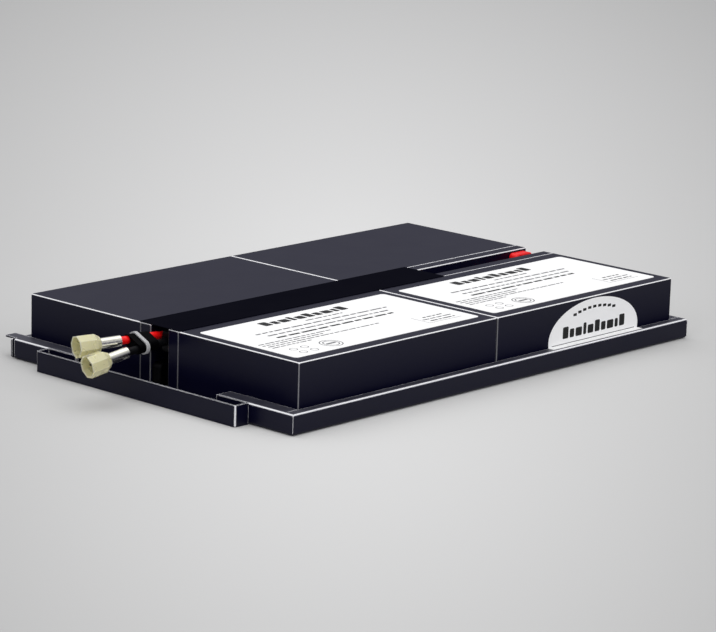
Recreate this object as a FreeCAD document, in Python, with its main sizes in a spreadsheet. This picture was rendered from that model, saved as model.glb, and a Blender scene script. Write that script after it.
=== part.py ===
"""Battery cartridge for a rack-mount UPS.

Four sealed blocks lie two by two in a folded steel tray, with their lids facing each other across
a wiring gap. The row's origin is the middle of the tray's underside: +X runs along the tray away
from the connectors, +Y towards the unlabelled row of batteries and +Z up. Sizes are millimetres.
"""
import FreeCAD, Part
import math
import os
import re
import Sketcher

Vector = FreeCAD.Vector
UP = Vector(0, 0, 1)

doc = FreeCAD.newDocument("battery_cartridge")

# ---------------------------------------------------------------- driving dimensions
SIZES = [
    # the four batteries
    ("battery_length", 151.0, "long side of a block"),
    ("battery_height", 94.0, "from the block's base to its lid face"),
    ("battery_thickness", 34.0, "thin side, which stands upright in the tray"),
    ("lid_depth", 7.6, "part of the height that is lid"),
    ("case_edge", 0.9, "radius on the moulded edges"),
    ("seam_chamfer", 0.35, "chamfer on both sides of the lid seam"),
    ("battery_spacing", 0.5, "between two blocks of one row"),
    ("row_gap", 13.0, "wiring gap between the two rows"),
    ("vent_cover_length", 92.0, "cover plate over the vent valves"),
    ("vent_cover_width", 15.0, "cover plate over the vent valves"),
    ("vent_cover_thickness", 1.4, "cover plate over the vent valves"),
    ("vent_recess_depth", 1.0, "recess that the cover plate lies in"),
    ("vent_clearance", 0.2, "round the cover plate"),
    # terminals
    ("terminal_inset", 8.4, "tab centre from the block's end"),
    ("terminal_offset", 9.5, "tab centre above or below the block's middle"),
    ("well_length", 12.0, "recess round a tab"),
    ("well_width", 8.0, "recess round a tab"),
    ("well_depth", 1.2, "recess round a tab"),
    ("blade_width", 6.35, "terminal blade"),
    ("blade_thickness", 0.8, "terminal blade"),
    ("blade_reach", 5.4, "blade tip above the lid face"),
    ("blade_hole", 1.6, "dimple hole in the blade"),
    ("blade_hole_inset", 2.2, "dimple hole from the blade's tip"),
    ("blade_tip_chamfer", 1.1, "corners of the blade's tip"),
    ("tab_foot_length", 9.0, "foot of the tab on the well's floor"),
    ("tab_foot_width", 4.0, "foot of the tab on the well's floor"),
    ("tab_foot_height", 0.6, "foot of the tab on the well's floor"),
    # push-on flag connectors on the tabs
    ("receptacle_width", 8.0, "across the rolled edges"),
    ("receptacle_height", 2.4, "over the rolled edges"),
    ("receptacle_length", 4.8, "along the blade"),
    ("receptacle_standoff", 0.4, "above the lid face"),
    ("blade_clearance", 0.05, "round the blade in its slot"),
    ("crimp_diameter", 3.4, "crimped barrel on the bare conductor"),
    ("crimp_length", 1.6, "crimped barrel on the bare conductor"),
    ("boot_front", 7.0, "boot end from the tab centre, away from the wire"),
    ("boot_back", 7.4, "boot end from the tab centre, on the wire side"),
    ("boot_height", 12.0, "boot across the gap's height"),
    ("boot_depth", 5.6, "boot across the gap"),
    ("boot_standoff", 0.3, "boot above the lid face"),
    ("boot_roof", 0.5, "boot wall over the receptacle"),
    ("boot_corner", 2.4, "radius on the boot's corners"),
    ("boot_edge", 0.5, "chamfer on the boot's outer edge"),
    ("boot_clearance", 0.15, "round the receptacle and the wire"),
    # tray
    ("sheet_thickness", 1.0, "steel sheet of the tray and the bracket"),
    ("bend_radius", 0.6, "inside radius of every bend"),
    ("tray_depth", 11.2, "height of the flanges"),
    ("side_margin", 5.5, "from the batteries to a long side's outer face"),
    ("end_margin", 9.2, "from the batteries to an end's outer face"),
    ("lip_clearance", 0.3, "from a lip's edge to the batteries"),
    ("lip_slot", 0.5, "cut between two lips at a corner"),
    ("handle_opening", 106.0, "cut-out in the end flange behind the bracket"),
    ("cutout_depth", 2.0, "depth of the cut-out and of the relief, past the bend"),
    ("ear_reach", 6.6, "end lip's ear past the long side"),
    ("relief_width", 1.8, "relief beside the ear in the end flange"),
    ("bracket_span", 150.0, "pull bracket, outside its returns"),
    ("bracket_reach", 9.4, "pull bracket past the end flange"),
    # tape, labels and strip
    ("tape_thickness", 0.2, "tape between the tray and a battery"),
    ("tape_width", 19.0, "tape strip"),
    ("tape_margin", 6.0, "from a battery's edge to the tape's end"),
    ("label_end_margin", 5.5, "top label from the battery's ends"),
    ("label_width", 70.0, "top label"),
    ("label_margin", 7.4, "top label from the battery's base edge"),
    ("label_thickness", 0.15, "top label and seal label"),
    ("label_corner", 2.5, "top label"),
    ("strip_length", 205.0, "insulating strip over the wiring gap"),
    ("strip_width", 30.0, "insulating strip over the wiring gap"),
    ("strip_thickness", 0.4, "insulating strip over the wiring gap"),
    ("seal_offset", 6.45, "seal label's middle from the middle of the second battery"),
    ("seal_width", 77.8, "seal label"),
    ("seal_half_height", 20.0, "upper half of the seal label's oval"),
    ("seal_top_gap", 1.3, "from the battery's top edge to the seal label"),
    # leads and what is on them
    ("lead_diameter", 4.2, "output lead over its insulation"),
    ("jumper_diameter", 3.8, "series jumper over its insulation"),
    ("jumper_arm", 8.0, "straight stretch beside a jumper's loop"),
    ("sleeve_length", 13.6, "sleeving round both leads"),
    ("sleeve_setback", 1.3, "from the sleeving's end to where the leads part"),
    ("sleeve_wall", 0.8, "sleeving outside the leads"),
    ("lead_clearance", 0.4, "round a lead in the sleeving"),
    ("tie_width", 1.9, "cable tie strap"),
    ("tie_thickness", 0.8, "cable tie strap"),
    ("tie_place", 1.5, "cable tie from the sleeving's middle, towards the connectors"),
    ("tie_head_length", 3.6, "cable tie head"),
    ("tie_head_width", 3.6, "cable tie head along the leads"),
    ("tie_head_depth", 2.4, "cable tie head"),
    ("tie_tail_length", 1.4, "cut tail of the tie, past its head"),
    ("barrel_diameter", 6.0, "crimp barrel of an output connector"),
    ("barrel_length", 12.0, "crimp barrel outside the housing"),
    ("barrel_seat", 2.0, "crimp barrel inside the housing"),
    ("barrel_bore_depth", 6.0, "lead inside the crimp barrel"),
    ("barrel_clearance", 0.1, "lead in the barrel, and barrel in the housing"),
    ("neck_width", 4.0, "strip between barrel and receptacle"),
    ("neck_thickness", 0.8, "strip between barrel and receptacle"),
    ("neck_length", 2.6, "strip between barrel and receptacle"),
    ("socket_width", 7.6, "blade receptacle in the housing"),
    ("socket_height", 2.8, "blade receptacle in the housing"),
    ("socket_length", 4.6, "blade receptacle in the housing"),
    ("housing_length", 12.8, "nylon housing"),
    ("housing_shoulder", 3.2, "tapered part of the housing behind its widest place"),
    ("housing_width", 11.8, "across the corners at the widest place"),
    ("housing_mouth", 12.2, "across the corners at the mouth"),
    ("housing_neck", 8.2, "across the corners at the barrel"),
    ("housing_wall", 0.9, "wall of the housing"),
    ("rim_slot_width", 3.8, "slot in the rim of the housing's mouth"),
    ("rim_slot_depth", 3.2, "slot in the rim of the housing's mouth"),
]

sheet = doc.addObject("Spreadsheet::Sheet", "sizes")
for row, (alias, number, meaning) in enumerate(SIZES, start=1):
    sheet.set(f"A{row}", meaning)
    sheet.set(f"B{row}", str(number))
    sheet.setAlias(f"B{row}", alias)
doc.recompute()

ALIASES = {alias for alias, number, meaning in SIZES}

# lengths that follow from the driving dimensions, as expressions
TRAY_LENGTH = "(2*battery_length + battery_spacing + 2*end_margin)"
TRAY_WIDTH = "(2*battery_height + row_gap + 2*side_margin)"
BEND = "(sheet_thickness + bend_radius)"
BATTERY_BASE = "(sheet_thickness + tape_thickness)"
BATTERY_TOP = "(sheet_thickness + tape_thickness + battery_thickness)"
BATTERY_CENTRE = "(battery_length/2 + battery_spacing/2)"
TERMINAL_X = "(battery_length/2 - terminal_inset)"
END_LIP = "(end_margin - lip_clearance)"
SIDE_LIP = "(side_margin - lip_clearance)"
HOUSING_START = "barrel_length"


def size(alias):
    """A driving dimension's value, from the sheet."""
    return float(sheet.get(alias))


def expression(text):
    """The text with every dimension's name pointing at the sheet."""
    return re.sub(r"[a-z_]+", lambda m: "sizes." + m[0] if m[0] in ALIASES else m[0], text)


def bind(thing, **formulas):
    """Bind properties such as Length to formulas."""
    for name, text in formulas.items():
        thing.setExpression(name, expression(text))


def place(thing, x="0", y="0", z="0", rotation=None):
    """Place an object at a point given by formulas."""
    if rotation:
        thing.Placement = FreeCAD.Placement(Vector(), rotation)
    for axis, text in zip("xyz", (x, y, z)):
        thing.setExpression("Placement.Base." + axis, expression(text))


# ---------------------------------------------------------------- sketches and features
def new_body(label):
    body = doc.addObject("PartDesign::Body", label)
    body.Label = label
    return body


def new_sketch(body, name, role="XY_Plane", at=("0", "0", "0")):
    """A sketch on one of the body's own origin planes, moved by formulas along its own axes."""
    sketch = body.newObject("Sketcher::SketchObject", name)
    plane = next(f for f in body.Origin.OriginFeatures if f.Role == role)
    sketch.AttachmentSupport = [(plane, "")]
    sketch.MapMode = "FlatFace"
    for axis, text in zip("xyz", at):
        sketch.setExpression("AttachmentOffset.Base." + axis, expression(text))
    return sketch


def constrain(sketch, name, text, *constraint):
    """Add a dimension to a sketch and bind it to a formula."""
    index = sketch.addConstraint(Sketcher.Constraint(*constraint))
    sketch.renameConstraint(index, name)
    sketch.setExpression("Constraints." + name, expression(text))


def closed_lines(sketch, corners):
    """Lines from corner to corner, joined at their ends. Returns the first line's index."""
    first = sketch.GeometryCount
    count = len(corners)
    for i, corner in enumerate(corners):
        sketch.addGeometry(Part.LineSegment(corner, corners[(i + 1) % count]), False)
    for i in range(count):
        sketch.addConstraint(Sketcher.Constraint("Coincident", first + i, 2, first + (i + 1) % count, 1))
    return first


def rectangle(sketch, width, height):
    """A rectangle round the sketch's origin."""
    corners = [Vector(x, y, 0) for x, y in ((-5, -5), (5, -5), (5, 5), (-5, 5))]
    closed_lines(sketch, corners)
    sketch.addConstraint([Sketcher.Constraint("Horizontal", 0), Sketcher.Constraint("Horizontal", 2),
                          Sketcher.Constraint("Vertical", 1), Sketcher.Constraint("Vertical", 3),
                          Sketcher.Constraint("Symmetric", 0, 1, 2, 1, -1, 1)])
    constrain(sketch, "width", width, "DistanceX", 0, 1, 0, 2, 10.0)
    constrain(sketch, "height", height, "DistanceY", 1, 1, 1, 2, 10.0)
    return sketch


def circle(sketch, diameter):
    """A circle round the sketch's origin."""
    sketch.addGeometry(Part.Circle(Vector(), UP, 2.0), False)
    sketch.addConstraint(Sketcher.Constraint("Coincident", 0, 3, -1, 1))
    constrain(sketch, "diameter", diameter, "Diameter", 0, 4.0)
    return sketch


def octagon(sketch, corners_apart):
    """A regular octagon round the sketch's origin, with flats on all four sides."""
    angles = [math.radians(22.5 + 45 * i) for i in range(8)]
    closed_lines(sketch, [Vector(5 * math.cos(a), 5 * math.sin(a), 0) for a in angles])
    ring = sketch.addGeometry(Part.Circle(Vector(), UP, 5.0), True)
    sketch.addConstraint(Sketcher.Constraint("Coincident", ring, 3, -1, 1))
    for i in range(8):
        sketch.addConstraint(Sketcher.Constraint("PointOnObject", i, 1, ring))
    for i in range(1, 8):
        sketch.addConstraint(Sketcher.Constraint("Equal", 0, i))
    sketch.addConstraint(Sketcher.Constraint("Horizontal", 1))
    constrain(sketch, "corners_apart", corners_apart, "Diameter", ring, 10.0)
    return sketch


def slot(sketch, centres_apart, diameter):
    """Two half circles along the sketch's own X axis, joined by straight lines."""
    half, radius = 3.0, 2.0
    sketch.addGeometry(Part.LineSegment(Vector(-half, radius, 0), Vector(half, radius, 0)), False)
    right = Part.Circle(Vector(half, 0, 0), UP, radius)
    sketch.addGeometry(Part.ArcOfCircle(right, -math.pi / 2, math.pi / 2), False)
    sketch.addGeometry(Part.LineSegment(Vector(half, -radius, 0), Vector(-half, -radius, 0)), False)
    left = Part.Circle(Vector(-half, 0, 0), UP, radius)
    sketch.addGeometry(Part.ArcOfCircle(left, math.pi / 2, 3 * math.pi / 2), False)
    for joint in ((0, 2, 1, 2), (1, 1, 2, 1), (2, 2, 3, 2), (3, 1, 0, 1)):
        sketch.addConstraint(Sketcher.Constraint("Tangent", *joint))
    sketch.addConstraint(Sketcher.Constraint("Horizontal", 0))
    sketch.addConstraint(Sketcher.Constraint("Equal", 1, 3))
    sketch.addConstraint(Sketcher.Constraint("Symmetric", 1, 3, 3, 3, -1, 1))
    constrain(sketch, "centres_apart", centres_apart, "DistanceX", 3, 3, 1, 3, 2 * half)
    constrain(sketch, "diameter", diameter, "Diameter", 1, 2 * radius)
    return sketch


def pad(body, sketch, length, name="pad", backwards=False):
    feature = body.newObject("PartDesign::Pad", name)
    feature.Profile = sketch
    feature.Reversed = backwards
    bind(feature, Length=length)
    return feature


def pocket(body, sketch, length, name="pocket", backwards=False):
    """Cut a sketch's outline out of the body and make sure that it cut something."""
    doc.recompute()
    before = body.Shape.Volume
    feature = body.newObject("PartDesign::Pocket", name)
    feature.Profile = sketch
    feature.Reversed = backwards
    bind(feature, Length=length)
    doc.recompute()
    if body.Shape.Volume > before - 1e-6:
        raise RuntimeError(f"{body.Label}: {name} cut nothing")
    return feature


def loft(body, start, end, name="loft", cut=False):
    kind = "PartDesign::SubtractiveLoft" if cut else "PartDesign::AdditiveLoft"
    feature = body.newObject(kind, name)
    feature.Profile = start
    feature.Sections = [end]
    return feature


def dress(body, kind, amount, wanted, name):
    """Round or chamfer the edges that wanted(edge) picks."""
    doc.recompute()
    base = body.Tip
    picked = [f"Edge{i}" for i, edge in enumerate(base.Shape.Edges, start=1) if wanted(edge)]
    if not picked:
        raise RuntimeError(f"{body.Label}: no edges for {name}")
    feature = body.newObject("PartDesign::" + kind, name)
    feature.Base = (base, picked)
    bind(feature, **{"Radius" if kind == "Fillet" else "Size": amount})
    return feature


def along(edge):
    """The axis, 0 to 2, that a straight edge runs along, or None."""
    if not isinstance(edge.Curve, Part.Line):
        return None
    direction = edge.tangentAt(edge.FirstParameter)
    return next((i for i in range(3) if abs(abs(direction[i]) - 1) < 1e-6), None)


def near(value, target):
    return abs(value - target) < 1e-4


def middle(edge):
    return edge.BoundBox.Center


# ---------------------------------------------------------------- tray and pull bracket
def make_tray():
    """Folded tray: floor, four flanges with inward lips, an ear and a cut-out for the handle."""
    body = new_body("tray")
    outside = rectangle(new_sketch(body, "outside"), TRAY_LENGTH, TRAY_WIDTH)
    pad(body, outside, "tray_depth")

    mouth = new_sketch(body, "mouth", at=("0", "0", "tray_depth"))
    rectangle(mouth, f"{TRAY_LENGTH} - 2*{END_LIP}", f"{TRAY_WIDTH} - 2*{SIDE_LIP}")
    pocket(body, mouth, "tray_depth - sheet_thickness", "mouth_cut")

    inside = new_sketch(body, "inside", at=("0", "0", "tray_depth - sheet_thickness"))
    rectangle(inside, f"{TRAY_LENGTH} - 2*sheet_thickness", f"{TRAY_WIDTH} - 2*sheet_thickness")
    pocket(body, inside, "tray_depth - 2*sheet_thickness", "inside_cut")

    half_length = size("battery_length") + size("battery_spacing") / 2 + size("end_margin")
    half_width = size("battery_height") + size("row_gap") / 2 + size("side_margin")
    wall = size("sheet_thickness")
    top = size("tray_depth")

    def level_edge(edge, heights, inset):
        """An edge along one of the walls, inset from the outer faces, at one of the heights."""
        axis, place_ = along(edge), middle(edge)
        on_side = axis == 0 and near(abs(place_.y), half_width - inset)
        on_end = axis == 1 and near(abs(place_.x), half_length - inset)
        return (on_side or on_end) and any(near(place_.z, z) for z in heights)

    dress(body, "Fillet", BEND, lambda e: level_edge(e, (0, top), 0), "outer_bends")
    dress(body, "Fillet", "bend_radius", lambda e: level_edge(e, (wall, top - wall), wall), "inner_bends")

    # end flange at the connectors: open behind the bracket, first the flange, then its lip
    notch = new_sketch(body, "notch", at=(f"-{TRAY_LENGTH}/2 + cutout_depth/2", "0", "tray_depth"))
    rectangle(notch, "cutout_depth", "handle_opening")
    pocket(body, notch, "tray_depth", "flange_cut")
    lip_gap = new_sketch(body, "lip_gap", at=(f"-{TRAY_LENGTH}/2 + end_margin/2", "0", "tray_depth"))
    rectangle(lip_gap, "end_margin", "handle_opening")
    pocket(body, lip_gap, "tray_depth - 2*sheet_thickness", "lip_cut")

    # the lips meet in straight cuts at three corners
    for x_sign, y_sign in ((-1, -1), (1, -1), (1, 1)):
        corner = new_sketch(body, "corner", at=(
            f"{x_sign}*({TRAY_LENGTH}/2 - cutout_depth/2 - {END_LIP}/2)",
            f"{y_sign}*({TRAY_WIDTH}/2 - {SIDE_LIP} - lip_slot/2)", "tray_depth"))
        rectangle(corner, f"{END_LIP} - cutout_depth", "lip_slot")
        pocket(body, corner, "2*sheet_thickness", "corner_cut")

    # at the fourth corner the end lip runs on as an ear, and the long side's lip stops short of it
    ear = new_sketch(body, "ear", at=(
        f"-{TRAY_LENGTH}/2 + cutout_depth/2 + {END_LIP}/2", f"{TRAY_WIDTH}/2 + ear_reach/2 - {SIDE_LIP}/2",
        "tray_depth - sheet_thickness"))
    rectangle(ear, f"{END_LIP} - cutout_depth", f"ear_reach + {SIDE_LIP}")
    pad(body, ear, "sheet_thickness", "ear_pad")
    ear_slot = new_sketch(body, "ear_slot", at=(
        f"-{TRAY_LENGTH}/2 + {END_LIP} + lip_slot/2", f"{TRAY_WIDTH}/2 - {SIDE_LIP}/2", "tray_depth"))
    rectangle(ear_slot, "lip_slot", SIDE_LIP)
    pocket(body, ear_slot, "2*sheet_thickness", "ear_cut")
    relief = new_sketch(body, "relief", at=(
        f"-{TRAY_LENGTH}/2 + cutout_depth/2", f"{TRAY_WIDTH}/2 - sheet_thickness - relief_width/2", "tray_depth"))
    rectangle(relief, "cutout_depth", "relief_width")
    pocket(body, relief, "tray_depth", "relief_cut")


def make_bracket():
    """Hat-shaped bracket: a front, two returns and two flanges welded on the tray's end."""
    body = new_body("pull_bracket")
    block = new_sketch(body, "block")
    rectangle(block, "bracket_reach", "bracket_span")
    pad(body, block, "tray_depth")
    hollow = new_sketch(body, "hollow", at=("sheet_thickness", "0", "tray_depth"))
    rectangle(hollow, "bracket_reach", "bracket_span - 2*sheet_thickness")
    pocket(body, hollow, "tray_depth", "hollow_cut")
    half_span, reach, wall = size("bracket_span") / 2, size("bracket_reach"), size("sheet_thickness")

    def upright(edge, x, y):
        return along(edge) == 2 and near(middle(edge).x, x) and near(abs(middle(edge).y), y)

    dress(body, "Fillet", BEND, lambda e: upright(e, -reach / 2, half_span), "outer_bends")
    dress(body, "Fillet", "bend_radius", lambda e: upright(e, wall - reach / 2, half_span - wall), "inner_bends")
    for side in (-1, 1):
        flange = new_sketch(body, "flange", at=(
            "bracket_reach/2 - sheet_thickness/2", f"{side}*(bracket_span/4 + handle_opening/4)", "0"))
        rectangle(flange, "sheet_thickness", "bracket_span/2 - handle_opening/2")
        pad(body, flange, "tray_depth", "weld_flange")
    place(body, x=f"-{TRAY_LENGTH}/2 - bracket_reach/2")


# ---------------------------------------------------------------- batteries
class Battery:
    """Where one block lies. Its own frame has the lid facing +Y and the block's base at Y = 0."""

    def __init__(self, number, x_sign, row, high_tab, wire_sides):
        self.number = number
        self.x_sign = x_sign
        self.turned = row > 0
        self.high_tab = high_tab
        self.wire_sides = wire_sides
        self.x = f"{x_sign}*{BATTERY_CENTRE}"
        self.y = f"{row}*(row_gap/2 + battery_height)"

    def sign(self, polarity):
        """-1 for the tab that sits high and 1 for the one that sits low."""
        return -1 if polarity == self.high_tab else 1

    def seat(self, thing):
        """Put a sub-part that is drawn in the battery's frame where this battery lies."""
        turn = FreeCAD.Rotation(UP, 180 if self.turned else 0)
        place(thing, self.x, self.y, BATTERY_BASE, turn)

    def tab_place(self, polarity):
        """A tab's centre on the lid face, in the row's frame."""
        sign = self.sign(polarity)
        side = -1 if self.turned else 1
        x = sign * side * (size("battery_length") / 2 - size("terminal_inset"))
        x += self.x_sign * (size("battery_length") + size("battery_spacing")) / 2
        z = size("sheet_thickness") + size("tape_thickness") + size("battery_thickness") / 2
        return Vector(x, -side * size("row_gap") / 2, z - sign * size("terminal_offset"))

    def connector(self, polarity):
        """The frame of the connector on a tab: its blade along +Y, its wire along -X."""
        lid = FreeCAD.Rotation(UP, 180 if self.turned else 0)
        if lid.multVec(Vector(-1, 0, 0)).x * self.wire_sides[polarity] < 0:
            lid = lid * FreeCAD.Rotation(Vector(0, 1, 0), 180)
        return FreeCAD.Placement(self.tab_place(polarity), lid)

    def wire_end(self, polarity):
        """Where a wire's insulation meets the crimp barrel of the connector on a tab."""
        reach = size("receptacle_width") / 2 + size("crimp_length")
        return self.connector(polarity).multVec(Vector(-reach, size("boot_standoff") + size("boot_depth") / 2, 0))


def make_case(battery):
    body = new_body(f"case_{battery.number}")
    outline = new_sketch(body, "outline", at=("0", "(battery_height - lid_depth)/2", "0"))
    rectangle(outline, "battery_length", "battery_height - lid_depth")
    pad(body, outline, "battery_thickness")
    seam = size("battery_height") - size("lid_depth")
    dress(body, "Fillet", "case_edge", lambda e: not near(middle(e).y, seam), "edges")
    dress(body, "Chamfer", "seam_chamfer", lambda e: near(e.BoundBox.YMin, seam), "seam")
    battery.seat(body)


def make_lid(battery):
    """Lid with a well round each tab and a recess for the vent cover."""
    body = new_body(f"lid_{battery.number}")
    outline = new_sketch(body, "outline", at=("0", "battery_height - lid_depth/2", "0"))
    rectangle(outline, "battery_length", "lid_depth")
    pad(body, outline, "battery_thickness")
    seam = size("battery_height") - size("lid_depth")
    dress(body, "Fillet", "case_edge", lambda e: not near(middle(e).y, seam), "edges")
    dress(body, "Chamfer", "seam_chamfer", lambda e: near(e.BoundBox.YMax, seam), "seam")
    for sign in (-1, 1):
        well = new_sketch(body, "well", "XZ_Plane", (
            f"{sign}*{TERMINAL_X}", f"battery_thickness/2 - {sign}*terminal_offset", "-battery_height"))
        rectangle(well, "well_length", "well_width")
        pocket(body, well, "well_depth", "well_cut", backwards=True)
    recess = new_sketch(body, "recess", "XZ_Plane", ("0", "battery_thickness/2", "-battery_height"))
    rectangle(recess, "vent_cover_length + 2*vent_clearance", "vent_cover_width + 2*vent_clearance")
    pocket(body, recess, "vent_recess_depth", "recess_cut", backwards=True)
    battery.seat(body)


def make_vent_cover(battery):
    body = new_body(f"vent_cover_{battery.number}")
    outline = new_sketch(body, "outline", "XZ_Plane", (
        "0", "battery_thickness/2", "-(battery_height - vent_recess_depth)"))
    rectangle(outline, "vent_cover_length", "vent_cover_width")
    pad(body, outline, "vent_cover_thickness", backwards=True)
    dress(body, "Fillet", "vent_cover_thickness/4", lambda e: near(
        e.BoundBox.YMin, size("battery_height") - size("vent_recess_depth") + size("vent_cover_thickness")), "edges")
    battery.seat(body)


def make_tab(battery, polarity):
    """Blade terminal on the well's floor."""
    body = new_body(f"{polarity}_tab_{battery.number}")
    sign = battery.sign(polarity)
    at = (f"{sign}*{TERMINAL_X}", f"battery_thickness/2 - {sign}*terminal_offset",
          "-(battery_height - well_depth)")
    foot = rectangle(new_sketch(body, "foot", "XZ_Plane", at), "tab_foot_length", "tab_foot_width")
    pad(body, foot, "tab_foot_height", backwards=True)
    blade = rectangle(new_sketch(body, "blade", "XZ_Plane", at), "blade_width", "blade_thickness")
    pad(body, blade, "well_depth + blade_reach", "blade_pad", backwards=True)
    tip = size("battery_height") + size("blade_reach")
    dress(body, "Chamfer", "blade_tip_chamfer", lambda e: along(e) == 2 and near(middle(e).y, tip), "tip")
    hole = new_sketch(body, "hole", "XY_Plane", (
        f"{sign}*{TERMINAL_X}", "battery_height + blade_reach - blade_hole_inset",
        f"battery_thickness/2 - {sign}*terminal_offset + blade_thickness"))
    circle(hole, "blade_hole")
    pocket(body, hole, "2*blade_thickness", "hole_cut")
    battery.seat(body)


# ---------------------------------------------------------------- flag connectors on the tabs
def make_receptacle(battery, polarity):
    """Push-on receptacle on the blade, with a crimp barrel square to it."""
    body = new_body(f"receptacle_{polarity}_{battery.number}")
    at = ("0", "0", "-receptacle_standoff")
    outline = new_sketch(body, "outline", "XZ_Plane", at)
    slot(outline, "receptacle_width - receptacle_height", "receptacle_height")
    pad(body, outline, "receptacle_length", backwards=True)
    crimp = new_sketch(body, "crimp", "YZ_Plane", (
        "boot_standoff + boot_depth/2", "0", "-(receptacle_width/2 + crimp_length)"))
    circle(crimp, "crimp_diameter")
    pad(body, crimp, "crimp_length + receptacle_height/2", "crimp_pad")
    blade = new_sketch(body, "blade", "XZ_Plane", at)
    rectangle(blade, "blade_width + 2*blade_clearance", "blade_thickness + 2*blade_clearance")
    pocket(body, blade, "receptacle_length", "blade_slot")
    body.Placement = battery.connector(polarity)


def make_boot(battery, polarity):
    """Insulating boot over a receptacle and the end of its wire."""
    body = new_body(f"boot_{polarity}_{battery.number}")
    middle_x = "(boot_front - boot_back)/2"
    outline = new_sketch(body, "outline", "XZ_Plane", (middle_x, "0", "-boot_standoff"))
    rectangle(outline, "boot_front + boot_back", "boot_height")
    pad(body, outline, "boot_depth", backwards=True)
    dress(body, "Fillet", "boot_corner", lambda e: along(e) == 1, "corners")
    roof = size("boot_standoff") + size("boot_depth")
    dress(body, "Chamfer", "boot_edge", lambda e: near(e.BoundBox.YMin, roof), "roof_edge")
    cavity = new_sketch(body, "cavity", "XZ_Plane", ("0", "0", "-boot_standoff"))
    rectangle(cavity, "receptacle_width + 2*boot_clearance", "receptacle_height + 2*boot_clearance")
    pocket(body, cavity, "boot_depth - boot_roof", "cavity_cut")
    bore = new_sketch(body, "bore", "YZ_Plane", ("boot_standoff + boot_depth/2", "0", "-boot_back"))
    circle(bore, "lead_diameter + 2*boot_clearance")
    pocket(body, bore, "boot_back - (receptacle_width - receptacle_height)/2 + boot_clearance", "bore_cut",
           backwards=True)
    body.Placement = battery.connector(polarity)


# ---------------------------------------------------------------- tape, labels and strip
def make_tape():
    """Two strips of double-sided tape under each battery."""
    strips = []
    for x_sign in (-1, 1):
        for quarter in (-1, 1):
            for row in (-1, 1):
                strip = doc.addObject("Part::Box", "tape_strip")
                bind(strip, Length="tape_width", Width="battery_height - 2*tape_margin", Height="tape_thickness")
                place(strip, f"{x_sign}*{BATTERY_CENTRE} + {quarter}*battery_length/4 - tape_width/2",
                      f"{row}*(row_gap/2 + battery_height/2) - battery_height/2 + tape_margin",
                      "sheet_thickness")
                strips.append(strip)
    tape = doc.addObject("Part::Compound", "mounting_tape")
    tape.Label = "mounting_tape"
    tape.Links = strips


def make_top_label(label, x_sign):
    body = new_body(label)
    outline = rectangle(new_sketch(body, "outline"), "battery_length - 2*label_end_margin", "label_width")
    pad(body, outline, "label_thickness")
    dress(body, "Fillet", "label_corner", lambda e: along(e) == 2, "corners")
    place(body, f"{x_sign}*{BATTERY_CENTRE}", "label_margin + label_width/2 - row_gap/2 - battery_height",
          BATTERY_TOP)


def make_cover_strip():
    body = new_body("cover_strip")
    outline = rectangle(new_sketch(body, "outline"), "strip_length", "strip_width")
    pad(body, outline, "strip_thickness")
    place(body, "strip_length/2 - battery_length - battery_spacing/2", "0", BATTERY_TOP)


def make_seal_label():
    """Oval label on a battery's side, with its lower edge folded out onto the tray's lip."""
    rise = size("sheet_thickness") + size("tape_thickness") + size("battery_thickness")
    oval_top = rise - size("seal_top_gap")
    half_width, half_height = size("seal_width") / 2, size("seal_half_height")
    lip_top = size("tray_depth")
    face = -(size("row_gap") / 2 + size("battery_height"))
    film = size("label_thickness")
    flap_reach = size("side_margin") - size("sheet_thickness") - size("bend_radius")
    place_x = (size("battery_length") + size("battery_spacing")) / 2 + size("seal_offset")
    centre = Vector(place_x, face, oval_top - half_height)

    oval = Part.Ellipse(centre + Vector(half_width, 0, 0), centre + Vector(0, 0, half_height), centre)
    upright = Part.Face(Part.Wire([oval.toShape()])).extrude(Vector(0, -film, 0))
    keep_above = Part.makeBox(2 * half_width, 2 * film, rise,
                              Vector(centre.x - half_width, face - film, lip_top))
    below = centre.z - lip_top
    flap_width = 2 * half_width * math.sqrt(1 - (max(-below, 0) / half_height) ** 2)
    flap = Part.makeBox(flap_width, flap_reach, film,
                        Vector(centre.x - flap_width / 2, face - flap_reach, lip_top))
    label = doc.addObject("Part::Feature", "seal_label")
    label.Label = "seal_label"
    label.Shape = upright.common(keep_above).fuse(flap).removeSplitter()


# ---------------------------------------------------------------- wires
def straight(vector):
    return Vector(vector).normalize()


def make_wire(label, points, diameter):
    """A plain tube: straight runs joined by arcs, each as large as its two runs allow."""
    pieces, radii, expected, start = [], [], 0.0, points[0]
    area = math.pi * diameter ** 2 / 4
    for before, corner, after in zip(points, points[1:], points[2:]):
        incoming, outgoing = straight(corner - before), straight(after - corner)
        turn = incoming.getAngle(outgoing)
        setback = 0.45 * min((corner - before).Length, (after - corner).Length)
        radius = setback / math.tan(turn / 2)
        arc_start = corner - incoming * setback
        axis = straight(incoming.cross(outgoing))
        centre = arc_start + axis.cross(incoming) * radius
        pieces.append(Part.makeCylinder(diameter / 2, (arc_start - start).Length, start, incoming))
        disc = Part.Face(Part.Wire([Part.Circle(arc_start, incoming, diameter / 2).toShape()]))
        pieces.append(disc.revolve(centre, axis, math.degrees(turn)))
        expected += area * ((arc_start - start).Length + radius * turn)
        radii.append(round(radius, 1))
        start = corner + outgoing * setback
    last_run = points[-1] - start
    pieces.append(Part.makeCylinder(diameter / 2, last_run.Length, start, last_run))
    expected += area * last_run.Length
    tube = pieces[0].multiFuse(pieces[1:]).removeSplitter()
    if abs(tube.Volume / expected - 1) > 0.001 or len(tube.Solids) != 1:
        raise RuntimeError(f"{label}: volume {tube.Volume:.0f}, expected {expected:.0f}")
    print(label, "length", round(expected / area, 1), "bend radii", radii)
    wire = doc.addObject("Part::Feature", label)
    wire.Label = label
    wire.Shape = tube.Solids[0]


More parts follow.
